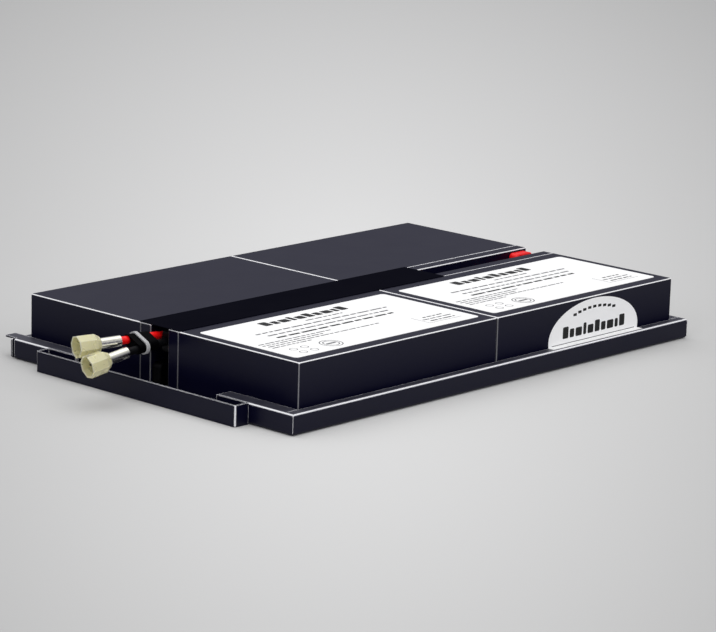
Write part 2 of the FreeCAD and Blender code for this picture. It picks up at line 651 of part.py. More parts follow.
def make_jumper(label, high, low):
    """A jumper from a high tab to a low one: both ends leave towards -X and meet in a loop."""
    drop = high.z - low.z
    side = drop / (1 + math.sqrt(2))
    slant = side / math.sqrt(2)
    turn_x = min(high.x, low.x) - size("jumper_arm")
    across = Vector(0, low.y - high.y, 0)
    loop = [Vector(turn_x, high.y, high.z),
            Vector(turn_x - slant, high.y, high.z - slant) + across * 0.25,
            Vector(turn_x - slant, high.y, low.z + slant) + across * 0.75,
            Vector(turn_x, low.y, low.z)]
    make_wire(label, [high, *loop, low], size("jumper_diameter"))


def stations(start, end, steps):
    """Points on the way from start to end, each with its share of the way and its shift in Y and Z."""
    return [start + (end - start) * share + Vector(0, y, z) for share, y, z in steps]


def output_route(start, inside, outside):
    """A lead's points inside the gap, then outside it with their distance from the gap's mouth."""
    mouth = Vector(-size("battery_length") - size("battery_spacing") / 2, start.y, start.z)
    return [start, *stations(start, mouth, inside), *(mouth + Vector(*step) for step in outside)]


def lead_pair(red_route, black_route):
    """The middle of the stretch where the leads run side by side, and their spacing at both its ends."""
    runs = [straight(route[-2] - route[-3]) for route in (red_route, black_route)]
    forward = straight(runs[0] + runs[1])
    front_plane = red_route[-2] - runs[0] * size("sleeve_setback")
    back_plane = front_plane - forward * size("sleeve_length")
    red_back, red_front, black_back, black_front = [
        route[-2] + run * ((plane - route[-2]).dot(forward) / run.dot(forward))
        for route, run in zip((red_route, black_route), runs) for plane in (back_plane, front_plane)]
    apart = red_back - black_back + red_front - black_front
    rotation = FreeCAD.Rotation(apart, forward.cross(apart), forward, "ZXY")
    middle_point = (red_back + red_front + black_back + black_front) / 4
    return FreeCAD.Placement(middle_point, rotation), (red_back - black_back).Length, (red_front - black_front).Length


def make_sleeve(placement, back, front):
    """Sleeving round both leads, drawn round its own Z axis with the red lead towards +X."""
    body = new_body("lead_sleeve")
    ends = (("back", "-sleeve_length/2", back), ("front", "sleeve_length/2", front))
    outlines = [slot(new_sketch(body, name, at=("0", "0", z)), str(apart), "lead_diameter + 2*sleeve_wall")
                for name, z, apart in ends]
    loft(body, outlines[0], outlines[1])
    for side in (-1, 1):
        bores = [circle(new_sketch(body, name + "_bore", at=(f"{side}*{apart}/2", "0", z)),
                        "lead_diameter + 2*lead_clearance") for name, z, apart in ends]
        loft(body, bores[0], bores[1], "bore", cut=True)
    body.Placement = placement


def make_tie(placement, back, front):
    """Cable tie: a strap round the sleeving, with its head and cut tail under the red lead."""
    body = new_body("cable_tie")
    loop_diameter = "(lead_diameter + 2*sleeve_wall)"
    apart = f"(({back} + {front})/2 + (tie_place + tie_width/2)*({front} - {back})/sleeve_length)"
    outline = new_sketch(body, "outline", at=("0", "0", "tie_place - tie_width/2"))
    slot(outline, apart, f"{loop_diameter} + 2*tie_thickness")
    pad(body, outline, "tie_width")
    head_y = f"{loop_diameter}/2 + tie_head_depth/2"
    head = new_sketch(body, "head", at=(f"{apart}/2", head_y, "tie_place - tie_head_width/2"))
    rectangle(head, "tie_head_length", "tie_head_depth")
    pad(body, head, "tie_head_width", "head_pad")
    tail_y = f"{loop_diameter}/2 + tie_head_depth + tie_tail_length/2"
    tail = new_sketch(body, "tail", at=(f"{apart}/2", tail_y, "tie_place - tie_width/2"))
    rectangle(tail, "tie_thickness", "tie_tail_length")
    pad(body, tail, "tie_width", "tail_pad")
    inside = new_sketch(body, "inside", at=("0", "0", "tie_place + tie_head_width"))
    slot(inside, apart, loop_diameter)
    pocket(body, inside, "2*tie_head_width", "inside_cut")
    body.Placement = placement


# ---------------------------------------------------------------- output connectors
def connector_placement(route):
    """The connector's frame on a lead: Z along the last run, and 0 at the barrel's open end."""
    forward = straight(route[-1] - route[-2])
    return FreeCAD.Placement(route[-1] - forward * size("barrel_bore_depth"), FreeCAD.Rotation(UP, forward))


def make_terminal(label, route):
    """Crimp barrel, neck and blade receptacle, folded from one strip."""
    body = new_body(label)
    barrel = circle(new_sketch(body, "barrel"), "barrel_diameter")
    pad(body, barrel, "barrel_length + barrel_seat")
    bore = new_sketch(body, "bore", at=("0", "0", "0"))
    circle(bore, "lead_diameter + 2*barrel_clearance")
    pocket(body, bore, "barrel_bore_depth", "bore_cut", backwards=True)
    neck = new_sketch(body, "neck", at=("0", "0", "barrel_length + barrel_seat"))
    rectangle(neck, "neck_thickness", "neck_width")
    pad(body, neck, "neck_length", "neck_pad")
    socket = new_sketch(body, "socket", at=("0", "0", "barrel_length + barrel_seat + neck_length"))
    rectangle(socket, "socket_height - neck_thickness", "socket_width - socket_height")
    pad(body, socket, "socket_length", "socket_pad")
    for side in (-1, 1):
        roll = new_sketch(body, "roll", at=("0", f"{side}*(socket_width - socket_height)/2",
                                            "barrel_length + barrel_seat + neck_length"))
        circle(roll, "socket_height")
        pad(body, roll, "socket_length", "roll_pad")
    blade = new_sketch(body, "blade", at=("0", "0", "barrel_length + barrel_seat + neck_length + socket_length"))
    rectangle(blade, "blade_thickness + 2*blade_clearance", "blade_width + 2*blade_clearance")
    pocket(body, blade, "socket_length - neck_thickness", "blade_slot")
    body.Placement = connector_placement(route)


def make_housing(label, route, slot_side):
    """Eight-sided nylon housing with a slot in its rim, on top (1) or underneath (-1)."""
    body = new_body(label)
    widest = f"{HOUSING_START} + housing_shoulder"
    mouth = f"{HOUSING_START} + housing_length"
    floor = f"{HOUSING_START} + housing_shoulder + housing_wall"
    sections = [octagon(new_sketch(body, name, at=("0", "0", height)), width) for name, height, width in (
        ("neck", HOUSING_START, "housing_neck"), ("shoulder", widest, "housing_width"),
        ("rear", widest, "housing_width"), ("front", mouth, "housing_mouth"))]
    loft(body, sections[0], sections[1], "shoulder_loft")
    loft(body, sections[2], sections[3], "body_loft")
    inner = [octagon(new_sketch(body, name, at=("0", "0", height)), f"{width} - 2*housing_wall")
             for name, height, width in (("inner_rear", floor, "housing_width"),
                                         ("inner_front", mouth, "housing_mouth"))]
    loft(body, inner[0], inner[1], "cavity", cut=True)
    seat = new_sketch(body, "seat", at=("0", "0", HOUSING_START))
    circle(seat, "barrel_diameter + 2*barrel_clearance")
    pocket(body, seat, "barrel_seat", "seat_cut", backwards=True)
    passage = new_sketch(body, "passage", at=("0", "0", floor))
    rectangle(passage, "neck_thickness + 2*barrel_clearance", "neck_width + 2*barrel_clearance")
    pocket(body, passage, "housing_shoulder + housing_wall", "passage_cut")
    rim = new_sketch(body, "rim", at=(f"{slot_side}*housing_mouth/2", "0", mouth))
    rectangle(rim, "4*housing_wall", "rim_slot_width")
    pocket(body, rim, "rim_slot_depth", "rim_cut")
    body.Placement = connector_placement(route)


# ---------------------------------------------------------------- the whole cartridge
make_tray()
make_bracket()

# Seen from the connectors: 1 and 4 are the near blocks, and 4 lies turned over, so that its
# positive tab sits high. Each tab's wire leaves along the tray, towards the connectors (-1) or away.
BATTERIES = {battery.number: battery for battery in (
    Battery(1, -1, -1, "negative", {"negative": -1, "positive": -1}),
    Battery(2, 1, -1, "negative", {"negative": -1, "positive": -1}),
    Battery(3, 1, 1, "negative", {"negative": -1, "positive": -1}),
    Battery(4, -1, 1, "positive", {"negative": 1, "positive": -1}))}

for battery in BATTERIES.values():
    make_case(battery)
    make_lid(battery)
    make_vent_cover(battery)
    for polarity in ("negative", "positive"):
        make_tab(battery, polarity)
        make_receptacle(battery, polarity)
        make_boot(battery, polarity)

make_tape()
make_top_label("top_label_left", -1)
make_top_label("top_label_right", 1)
make_seal_label()
make_cover_strip()


def end_on(number, polarity):
    return BATTERIES[number].wire_end(polarity)


# each wire's way through the gap, and the leads' way out of it
low_start, low_end = end_on(4, "negative"), end_on(3, "positive")
FLOOR_ROUTE = [low_start, *stations(low_start, low_end, (
    (0.116, 0, 0), (0.301, -0.8, -2.3), (0.508, -0.2, -3.5), (0.707, -1.0, -2.7), (0.886, 0, 0))), low_end]
RED_ROUTE = output_route(end_on(4, "positive"), (
    (0.096, 0, 0), (0.268, -0.7, -1.7), (0.465, -1.3, -2.8), (0.655, -1.4, -2.1), (0.823, -1.1, -0.1),
    (0.940, -0.9, 1.7)), ((-5.8, -0.9, 2.7), (-20.8, 0.3, 2.9), (-29.4, 2.7, 2.6)))
BLACK_ROUTE = output_route(end_on(1, "negative"), (), (
    (-5.8, 0, 0), (-21.7, -0.7, -0.7), (-31.8, 0.7, -2.6)))

make_jumper("jumper_front", end_on(2, "negative"), end_on(1, "positive"))
make_jumper("jumper_end", end_on(3, "negative"), end_on(2, "positive"))
make_wire("jumper_back", FLOOR_ROUTE, size("jumper_diameter"))
make_wire("red_lead", RED_ROUTE, size("lead_diameter"))
make_wire("black_lead", BLACK_ROUTE, size("lead_diameter"))
pair = lead_pair(RED_ROUTE, BLACK_ROUTE)
make_sleeve(*pair)
make_tie(*pair)
for colour, route, slot_side in (("red", RED_ROUTE, -1), ("black", BLACK_ROUTE, 1)):
    make_terminal(f"{colour}_terminal", route)
    make_housing(f"{colour}_housing", route, slot_side)

# ---------------------------------------------------------------- check and write
doc.recompute()
for thing in doc.Objects:
    if "Invalid" in thing.State or "Error" in thing.State:
        raise RuntimeError(f"{thing.Name}: {thing.State}")

used = {link for thing in doc.Objects if thing.TypeId == "Part::Compound" for link in thing.Links}
nodes = [thing for thing in doc.Objects if thing not in used and thing.TypeId in (
    "PartDesign::Body", "Part::Compound", "Part::Feature")]
os.makedirs("parts", exist_ok=True)
for node in nodes:
    if node.Shape.isNull() or not node.Shape.isValid():
        raise RuntimeError(f"{node.Label}: bad shape")
    node.Shape.exportStep(f"parts/{node.Label}.step")
print(len(nodes), "nodes written")
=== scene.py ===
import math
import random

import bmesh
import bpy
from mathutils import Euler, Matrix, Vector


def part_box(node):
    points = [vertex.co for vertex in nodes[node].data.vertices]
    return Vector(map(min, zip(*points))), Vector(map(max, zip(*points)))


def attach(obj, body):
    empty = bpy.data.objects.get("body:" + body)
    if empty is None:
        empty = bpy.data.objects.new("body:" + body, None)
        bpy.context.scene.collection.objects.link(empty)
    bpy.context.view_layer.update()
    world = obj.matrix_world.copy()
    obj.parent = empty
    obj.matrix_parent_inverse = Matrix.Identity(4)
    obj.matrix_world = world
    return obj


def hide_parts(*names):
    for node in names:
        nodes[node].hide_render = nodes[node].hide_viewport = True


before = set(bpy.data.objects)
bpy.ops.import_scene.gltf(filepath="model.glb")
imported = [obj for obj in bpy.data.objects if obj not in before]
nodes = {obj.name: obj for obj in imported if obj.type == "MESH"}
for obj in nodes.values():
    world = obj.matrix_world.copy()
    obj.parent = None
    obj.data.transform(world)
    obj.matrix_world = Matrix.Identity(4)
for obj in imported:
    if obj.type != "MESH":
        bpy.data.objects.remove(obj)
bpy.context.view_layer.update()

# %% [markdown]
# # A battery cartridge for a rack-mount UPS
# The construction model has every solid of the cartridge: four sealed batteries in a folded steel
# tray, the pull bracket, the wiring in the gap and two output leads. This notebook gives them their
# looks.

MM = 0.001

# %% [markdown]
# ## The camera
# The cartridge is seen from over its near left corner, a little above the table, through a long lens.
# A long lens keeps the far edges nearly parallel to the near ones. The camera looks along `forward`,
# which two angles give, and a third angle tips the picture slightly. We build its matrix from three
# axes instead of using a Track To constraint, because a constraint can't tip the picture.

# %% Camera
CAMERA_PLACE = Vector((-1.2305, -1.1323, 0.4089))
CAMERA_TURN, CAMERA_DIP, CAMERA_ROLL = 0.7505, 0.2299, 0.0277        # radians
LENS_LENGTH = 156.3        # millimetres, on a sensor 36 mm wide
FRAME_SHIFT = 0.0279       # as a share of the picture's width

forward = Vector((math.cos(CAMERA_TURN) * math.cos(CAMERA_DIP),
                  math.sin(CAMERA_TURN) * math.cos(CAMERA_DIP), -math.sin(CAMERA_DIP)))
level_right = Vector((math.sin(CAMERA_TURN), -math.cos(CAMERA_TURN), 0))
level_up = level_right.cross(forward)
right = level_right * math.cos(CAMERA_ROLL) + level_up * math.sin(CAMERA_ROLL)
up = level_up * math.cos(CAMERA_ROLL) - level_right * math.sin(CAMERA_ROLL)

camera_data = bpy.data.cameras.new("camera")
camera_data.sensor_width = 36
camera_data.lens = LENS_LENGTH
camera_data.shift_x = FRAME_SHIFT
camera_data.clip_end = 50
camera = bpy.data.objects.new("camera", camera_data)
axes = Matrix((right, up, -forward)).transposed()
camera.matrix_world = Matrix.Translation(CAMERA_PLACE) @ axes.to_4x4()
bpy.context.scene.collection.objects.link(camera)
bpy.context.scene.camera = camera
print("camera lens", camera_data.lens, "mm")

# %% [markdown]
# ## The two output leads
# Each lead is stranded wire in soft insulation. It runs out of the wiring gap, through the sleeving and
# into a crimped connector. A curve with a round bevel is the simplest way to make one: the spline's
# control points are the lead's route and the bevel is its thickness. The spline's order is set after
# its points are added, because a new spline has no room for a higher order yet. Each point's radius is
# the lead's own and the bevel's depth is 1, because a curve's box grows by the radius of its points.

# %% Lead curves
LEAD_DIAMETER = 4.2 * MM
RED_ROUTE = [(-14.25, 3.4, 27.7), (-27.4, 3.4, 27.7), (-50.97, 2.7, 26.0), (-77.96, 2.1, 24.9),
             (-103.99, 2.0, 25.6), (-127.0, 2.3, 27.6), (-143.03, 2.5, 29.4), (-157.05, 2.5, 30.4),
             (-172.05, 3.7, 30.6), (-180.65, 6.1, 30.3)]
BLACK_ROUTE = [(-148.45, -3.4, 27.7), (-157.05, -3.4, 27.7), (-172.95, -4.1, 27.0),
               (-183.05, -2.7, 25.1)]


def lead_curve(name, route):
    """A round lead along a route given in millimetres."""
    curve = bpy.data.curves.new(name, "CURVE")
    curve.dimensions = "3D"
    spline = curve.splines.new("NURBS")
    spline.points.add(len(route) - 1)
    for point, place in zip(spline.points, route):
        point.co = (*(Vector(place) * MM), 1)
        point.radius = LEAD_DIAMETER / 2
    spline.order_u = 3
    spline.use_endpoint_u = True
    curve.resolution_u = 10
    curve.bevel_depth = 1
    curve.bevel_resolution = 5
    curve.use_fill_caps = True
    lead = bpy.data.objects.new(name, curve)
    bpy.context.scene.collection.objects.link(lead)
    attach(lead, "root")
    return lead


red_lead = lead_curve("red_lead_insulation", RED_ROUTE)
black_lead = lead_curve("black_lead_insulation", BLACK_ROUTE)
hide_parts("red_lead")
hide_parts("black_lead")
print("leads:", red_lead.name, black_lead.name)

# %% [markdown]
# ## Effects that several finishes share
# Moulded plastic, powder coat and film differ in colour and gloss, but they share three things: a fine
# surface grain, a painted highlight along the edges, and a little dust on what faces up, which on the
# tray is also painted light. Each is a node group with its own inputs, so that every material can use it
# at its own strength.
#
# The grain is a noise on Object coordinates, which are metres from the row's origin. The painted edge
# highlight is a mask that reads the normal of a Bevel node, which turns near a sharp edge. On a box
# along the axes, one part of that normal is 1 on a flat face, and near an edge or on a rounded one all
# parts are smaller. A piece with slanting facets is compared with its own flat normal instead, which is
# what `Facets` chooses. `Start` says how far round the edge the painted highlight begins, and `Upright`
# how bright it is on an upright edge. The last group tells how high a point of an upright face lies, so
# that gloss can fall towards the foot as painted shade.

# %% Node group helper
def new_group(name, inputs, outputs):
    """An empty shader group with float inputs, given with their defaults, and outputs."""
    group = bpy.data.node_groups.new(name, "ShaderNodeTree")
    for label, value in inputs.items():
        socket = group.interface.new_socket(label, in_out="INPUT", socket_type="NodeSocketFloat")
        socket.default_value = value
    for label in outputs:
        group.interface.new_socket(label, in_out="OUTPUT", socket_type="NodeSocketFloat")
    entry = group.nodes.new("NodeGroupInput")
    result = group.nodes.new("NodeGroupOutput")
    return group, entry, result


def maths(tree, operation, first, second=None):
    """A Math node; each operand is a socket or a number."""
    node = tree.nodes.new("ShaderNodeMath")
    node.operation = operation
    for socket, value in zip(node.inputs, (first, second)):
        if value is None:
            continue
        if isinstance(value, bpy.types.NodeSocket):
            tree.links.new(value, socket)
        else:
            socket.default_value = value
    return node.outputs[0]


# %% Grain group
grain, entry, result = new_group(
    "surface_grain", {"Size mm": 0.5, "Patch mm": 30.0}, ("Height", "Patches"))
coordinates = grain.nodes.new("ShaderNodeTexCoord")
fine = grain.nodes.new("ShaderNodeTexNoise")
fine.inputs["Detail"].default_value = 3
grain.links.new(coordinates.outputs["Object"], fine.inputs["Vector"])
grain.links.new(maths(grain, "DIVIDE", 1 / MM, entry.outputs["Size mm"]), fine.inputs["Scale"])
patches = grain.nodes.new("ShaderNodeTexNoise")
patches.inputs["Detail"].default_value = 2
grain.links.new(coordinates.outputs["Object"], patches.inputs["Vector"])
grain.links.new(maths(grain, "DIVIDE", 1 / MM, entry.outputs["Patch mm"]), patches.inputs["Scale"])
grain.links.new(fine.outputs["Fac"], result.inputs["Height"])
grain.links.new(patches.outputs["Fac"], result.inputs["Patches"])
print("group", grain.name)

# %% Painted edge highlight group
# The pale line along an edge is a painted highlight for light caught by the edge; it is painted brighter
# where the edge faces up, as if lit from above.
ROUNDNESS_GAIN = 6.0       # how fast the line turns pale as the normal turns
UPWARD_GAIN = 2.5          # how much paler an edge gets as it faces up

edges, entry, result = new_group(
    "painted_edge_highlight", {"Width mm": 0.6, "Start": 0.1, "Upright": 0.5, "Facets": 0.0}, ("Mask",))
softened = edges.nodes.new("ShaderNodeBevel")
softened.samples = 6
edges.links.new(maths(edges, "MULTIPLY", entry.outputs["Width mm"], MM), softened.inputs["Radius"])
parts = edges.nodes.new("ShaderNodeSeparateXYZ")
edges.links.new(softened.outputs["Normal"], parts.inputs[0])
largest = maths(edges, "MAXIMUM", maths(edges, "ABSOLUTE", parts.outputs["X"]),
                maths(edges, "ABSOLUTE", parts.outputs["Y"]))
largest = maths(edges, "MAXIMUM", largest, maths(edges, "ABSOLUTE", parts.outputs["Z"]))
geometry = edges.nodes.new("ShaderNodeNewGeometry")
likeness = edges.nodes.new("ShaderNodeVectorMath")
likeness.operation = "DOT_PRODUCT"
edges.links.new(softened.outputs["Normal"], likeness.inputs[0])
edges.links.new(geometry.outputs["True Normal"], likeness.inputs[1])
difference = maths(edges, "SUBTRACT", likeness.outputs["Value"], largest)
flatness = maths(edges, "MULTIPLY_ADD", difference, entry.outputs["Facets"])
edges.links.new(largest, flatness.node.inputs[2])
roundness = maths(edges, "MULTIPLY", maths(edges, "SUBTRACT", 1.0, flatness), ROUNDNESS_GAIN)
past_start = maths(edges, "SUBTRACT", roundness, entry.outputs["Start"])
line = maths(edges, "DIVIDE", past_start, maths(edges, "SUBTRACT", 1.0, entry.outputs["Start"]))
line.node.use_clamp = True
upward = maths(edges, "MULTIPLY_ADD", parts.outputs["Z"], UPWARD_GAIN)
edges.links.new(entry.outputs["Upright"], upward.node.inputs[2])
upward.node.use_clamp = True
edges.links.new(maths(edges, "MULTIPLY", line, upward), result.inputs["Mask"])
print("group", edges.name)

# %% Dust and painted top light group
SPECKLES_PER_METRE = 55

# Upward faces are mixed towards a pale colour: real dust where the amount is small, and on the tray,
# where it is large, mostly painted light on the upward faces.
dust_and_top_light, entry, result = new_group("dust_and_painted_top_light", {"Amount": 0.1}, ("Mask",))
surface = dust_and_top_light.nodes.new("ShaderNodeNewGeometry")
parts = dust_and_top_light.nodes.new("ShaderNodeSeparateXYZ")
dust_and_top_light.links.new(surface.outputs["Normal"], parts.inputs[0])
coordinates = dust_and_top_light.nodes.new("ShaderNodeTexCoord")
speckle = dust_and_top_light.nodes.new("ShaderNodeTexNoise")
speckle.inputs["Scale"].default_value = SPECKLES_PER_METRE
speckle.inputs["Detail"].default_value = 6
dust_and_top_light.links.new(coordinates.outputs["Object"], speckle.inputs["Vector"])
facing_up = maths(dust_and_top_light, "MAXIMUM", parts.outputs["Z"], 0.0)
mask = maths(dust_and_top_light, "MULTIPLY", maths(dust_and_top_light, "MULTIPLY", facing_up, speckle.outputs["Fac"]),
             entry.outputs["Amount"])
dust_and_top_light.links.new(mask, result.inputs["Mask"])
print("group", dust_and_top_light.name)

# %% Low shade group
# Painted shade: this height lets a finish's gloss fall towards the foot of an upright face.
low_shade, entry, result = new_group("low_shade", {"Bottom mm": 10.0, "Top mm": 33.0}, ("Height",))
coordinates = low_shade.nodes.new("ShaderNodeTexCoord")
parts = low_shade.nodes.new("ShaderNodeSeparateXYZ")
low_shade.links.new(coordinates.outputs["Object"], parts.inputs[0])
above = maths(low_shade, "SUBTRACT", maths(low_shade, "DIVIDE", parts.outputs["Z"], MM),
              entry.outputs["Bottom mm"])
span = maths(low_shade, "SUBTRACT", entry.outputs["Top mm"], entry.outputs["Bottom mm"])
share = maths(low_shade, "DIVIDE", above, span)
share.node.use_clamp = True
low_shade.links.new(share, result.inputs["Height"])
print("group", low_shade.name)

# %% [markdown]
# ## Finishes
# One function builds a finish from a few plain values: the colour, the colour of its painted edge
# highlight and of its dust, how rough it is, and the size and height of its grain. Values that are the
# same all over are set on the shader's own sockets. Only what changes over the surface is linked.

# %% Finish function
BUMP_STRENGTH = 0.6


def use_group(tree, group, **values):
    """A node for a group. In the names of its inputs an underscore stands for a space."""
    node = tree.nodes.new("ShaderNodeGroup")
    node.node_tree = group
    for label, value in values.items():
        node.inputs[label.replace("_", " ")].default_value = value
    return node


def mixed(tree, factor, first, second):
    """A colour between two: each is a socket or three numbers."""
    node = tree.nodes.new("ShaderNodeMix")
    node.data_type = "RGBA"
    tree.links.new(factor, node.inputs["Factor"])
    for label, value in (("A", first), ("B", second)):
        socket = next(s for s in node.inputs if s.name == label and s.type == "RGBA")
        if isinstance(value, bpy.types.NodeSocket):
            tree.links.new(value, socket)
        else:
            socket.default_value = (*value, 1)
    return next(s for s in node.outputs if s.type == "RGBA")


def finish(name, colour, roughness, specular=0.5, metallic=0.0, grain_mm=0.5, bump_mm=0.01,
           patch_mm=30.0, patch_shade=0.85, edge_highlight_colour=None, edge_start=0.1, edge_mm=0.6,
           edge_upright=0.5, facets=0.0, dust_and_light_amount=0.0, dust_and_light_colour=(0.30, 0.30, 0.34),
           rough_change=0.08, low_gloss=None):
    """A finish with grain and slightly uneven colour and gloss.

    If asked, it also has a painted highlight on its edges, dust on top that is partly painted light, and
    gloss that falls towards the foot as painted shade.
    """
    material = bpy.data.materials.new(name)
    material.use_nodes = True
    tree = material.node_tree
    shader = tree.nodes["Principled BSDF"]
    shader.inputs["Specular IOR Level"].default_value = specular
    shader.inputs["Metallic"].default_value = metallic
    surface = use_group(tree, grain, Size_mm=grain_mm, Patch_mm=patch_mm)
    shade = tuple(channel * patch_shade for channel in colour)
    tint = mixed(tree, surface.outputs["Patches"], shade, colour)
    # Painted highlight: the edges are mixed towards a pale colour that stands in for light caught along
    # them.
    if edge_highlight_colour:
        painted_highlight = use_group(tree, edges, Width_mm=edge_mm, Start=edge_start, Upright=edge_upright,
                         Facets=facets)
        tint = mixed(tree, painted_highlight.outputs["Mask"], tint, edge_highlight_colour)
    # Dust on upward faces; where the amount is large, as on the tray, the pale colour is also painted
    # light there.
    if dust_and_light_amount:
        dust_and_light_mix = use_group(tree, dust_and_top_light, Amount=dust_and_light_amount)
        tint = mixed(tree, dust_and_light_mix.outputs["Mask"], tint, dust_and_light_colour)
    tree.links.new(tint, shader.inputs["Base Color"])
    # Painted shade: less gloss low on an upright face darkens its reflection towards the foot.
    if low_gloss is not None:
        foot = use_group(tree, low_shade)
        gloss = maths(tree, "MULTIPLY_ADD", foot.outputs["Height"], specular - low_gloss)
        gloss.node.inputs[2].default_value = low_gloss
        tree.links.new(gloss, shader.inputs["Specular IOR Level"])
    uneven = maths(tree, "MULTIPLY_ADD", surface.outputs["Patches"], rough_change)
    uneven.node.inputs[2].default_value = roughness - rough_change / 2
    tree.links.new(uneven, shader.inputs["Roughness"])
    bump = tree.nodes.new("ShaderNodeBump")
    bump.inputs["Distance"].default_value = bump_mm * MM
    bump.inputs["Strength"].default_value = BUMP_STRENGTH
    tree.links.new(surface.outputs["Height"], bump.inputs["Height"])
    tree.links.new(bump.outputs["Normal"], shader.inputs["Normal"])
    return material


# %% [markdown]
# The batteries and the tray are nearly black with a touch of blue. Their tops look much lighter than
# their sides, because they are seen at a grazing angle and mirror the bright room. That comes from the
# shader's gloss, so the colour itself stays dark.

# %% Finishes of the batteries, tray and wiring
# The pale edge lines of these finishes are painted highlights. The case's gloss falls towards the foot
# of its sides as painted shade, and the tray's heavy dust is partly painted light on its upward faces.
case_plastic = finish("case_plastic", (0.0030, 0.0030, 0.0150), 0.34, specular=0.16, grain_mm=0.35,
                      bump_mm=0.010, edge_highlight_colour=(0.95, 0.95, 0.97), edge_start=0.3, edge_mm=0.6,
                      edge_upright=0.22, dust_and_light_amount=0.012, low_gloss=0.02)
painted_steel = finish("painted_steel", (0.0030, 0.0030, 0.0150), 0.34, specular=0.16, grain_mm=0.8,
                       bump_mm=0.008, edge_highlight_colour=(0.92, 0.92, 0.95), edge_start=0.6, edge_mm=0.9,
                       edge_upright=0.9, dust_and_light_amount=0.28)
strip_film = finish("strip_film", (0.0042, 0.0042, 0.0080), 0.9, specular=0.0, grain_mm=0.25,
                    bump_mm=0.008, dust_and_light_amount=0.006)
label_film = finish("label_film", (0.97, 0.97, 0.97), 0.5, specular=0.3, grain_mm=0.4, bump_mm=0.002,
                    patch_shade=0.985)
tape_foam = finish("tape_foam", (0.72, 0.70, 0.64), 0.8, specular=0.2, grain_mm=0.3, bump_mm=0.02)
red_vinyl = finish("red_vinyl", (0.88, 0.004, 0.005), 0.38, specular=0.30, grain_mm=0.6, bump_mm=0.004,
                   patch_shade=0.95)
black_vinyl = finish("black_vinyl", (0.0022, 0.0022, 0.003), 0.45, specular=0.08, grain_mm=0.6,
                     bump_mm=0.004)
sleeving = finish("sleeving", (0.0008, 0.0008, 0.0012), 0.5, specular=0.015, grain_mm=0.25, bump_mm=0.01)
tie_nylon = finish("tie_nylon", (0.38, 0.38, 0.39), 0.35, specular=0.5, grain_mm=0.5, bump_mm=0.004,
                   patch_shade=0.95, edge_highlight_colour=(0.97, 0.97, 0.97), edge_start=0.3, edge_mm=0.35,
                   edge_upright=1.0, facets=1.0)
plated_brass = finish("plated_brass", (0.70, 0.69, 0.62), 0.12, metallic=1.0, grain_mm=0.3,
                      bump_mm=0.001, patch_mm=4.0, patch_shade=0.8, rough_change=0.10)
print("finishes:", len(bpy.data.materials))

# %% [markdown]
# The connector housings are nylon that light passes through: pale yellow, cloudy, and clearer where the
# wall is thin. Full glass would show sharp shapes behind it, so the transmission is partial and rough.

# %% Housing nylon
# Its pale rims are painted highlights.
housing_nylon = finish("housing_nylon", (0.92, 0.87, 0.55), 0.28, specular=0.5, grain_mm=0.8,
                       bump_mm=0.003, patch_mm=6.0, patch_shade=0.92, edge_highlight_colour=(0.99, 0.99, 0.96),
                       edge_start=0.1, edge_mm=0.7, edge_upright=1.0, facets=1.0)
nylon_shader = housing_nylon.node_tree.nodes["Principled BSDF"]
nylon_shader.inputs["Transmission Weight"].default_value = 0.42
nylon_shader.inputs["IOR"].default_value = 1.5
nylon_shader.inputs["Subsurface Weight"].default_value = 0.5
nylon_shader.inputs["Subsurface Scale"].default_value = 2 * MM
nylon_shader.inputs["Subsurface Radius"].default_value = (1.0, 0.95, 0.7)
print("housing transmission", nylon_shader.inputs["Transmission Weight"].default_value)

# %% [markdown]
# ## Every construction node gets its finish
# A node's name says what it is, so one table of name starts is enough. The longest start that fits wins.

# %% Assign finishes
FINISH_OF = {
    "tray": painted_steel, "pull_bracket": painted_steel,
    "case_": case_plastic, "lid_": case_plastic, "vent_cover_": case_plastic,
    "negative_tab_": plated_brass, "positive_tab_": plated_brass, "receptacle_": plated_brass,
    "boot_": black_vinyl, "boot_positive_2": red_vinyl, "boot_positive_4": red_vinyl,
    "boot_negative_3": red_vinyl,
    "mounting_tape": tape_foam, "top_label_": label_film, "seal_label": label_film,
    "cover_strip": strip_film, "jumper_": black_vinyl, "jumper_end": red_vinyl,
    "red_lead": red_vinyl, "black_lead": black_vinyl, "lead_sleeve": sleeving, "cable_tie": tie_nylon,
    "red_terminal": plated_brass, "black_terminal": plated_brass,
    "red_housing": housing_nylon, "black_housing": housing_nylon,
}


def dress(thing, material):
    """Give a thing one material all over."""
    thing.data.materials.clear()
    thing.data.materials.append(material)


for name, node in nodes.items():
    start = max((key for key in FINISH_OF if name.startswith(key)), key=len)
    dress(node, FINISH_OF[start])
dress(red_lead, red_vinyl)
dress(black_lead, black_vinyl)
print("dressed", len(nodes), "nodes")

# %% [markdown]
# ## Print on the labels
# Real labels carry text and symbols. Here they are plain bars, rings and boxes: enough to read as print
# from a distance, and nothing that could be read. The ink is a separate piece, so that the label stays
# clean. Each bar is a thin box made with a bmesh operator, and its four upright edges are bevelled, so
# that the bars end softly. A seeded random generator gives uneven word lengths that never change.

# %% Ink helpers
INK_THICKNESS = 0.02       # millimetres, as everything in a label's own drawing
WORD_LENGTHS = (1.6, 6.0)  # shortest and longest word, in letter heights
WORD_SPACE = 0.7           # the same for the space between words
LETTER_CORNER = 0.25       # and for the rounding of a word's corners


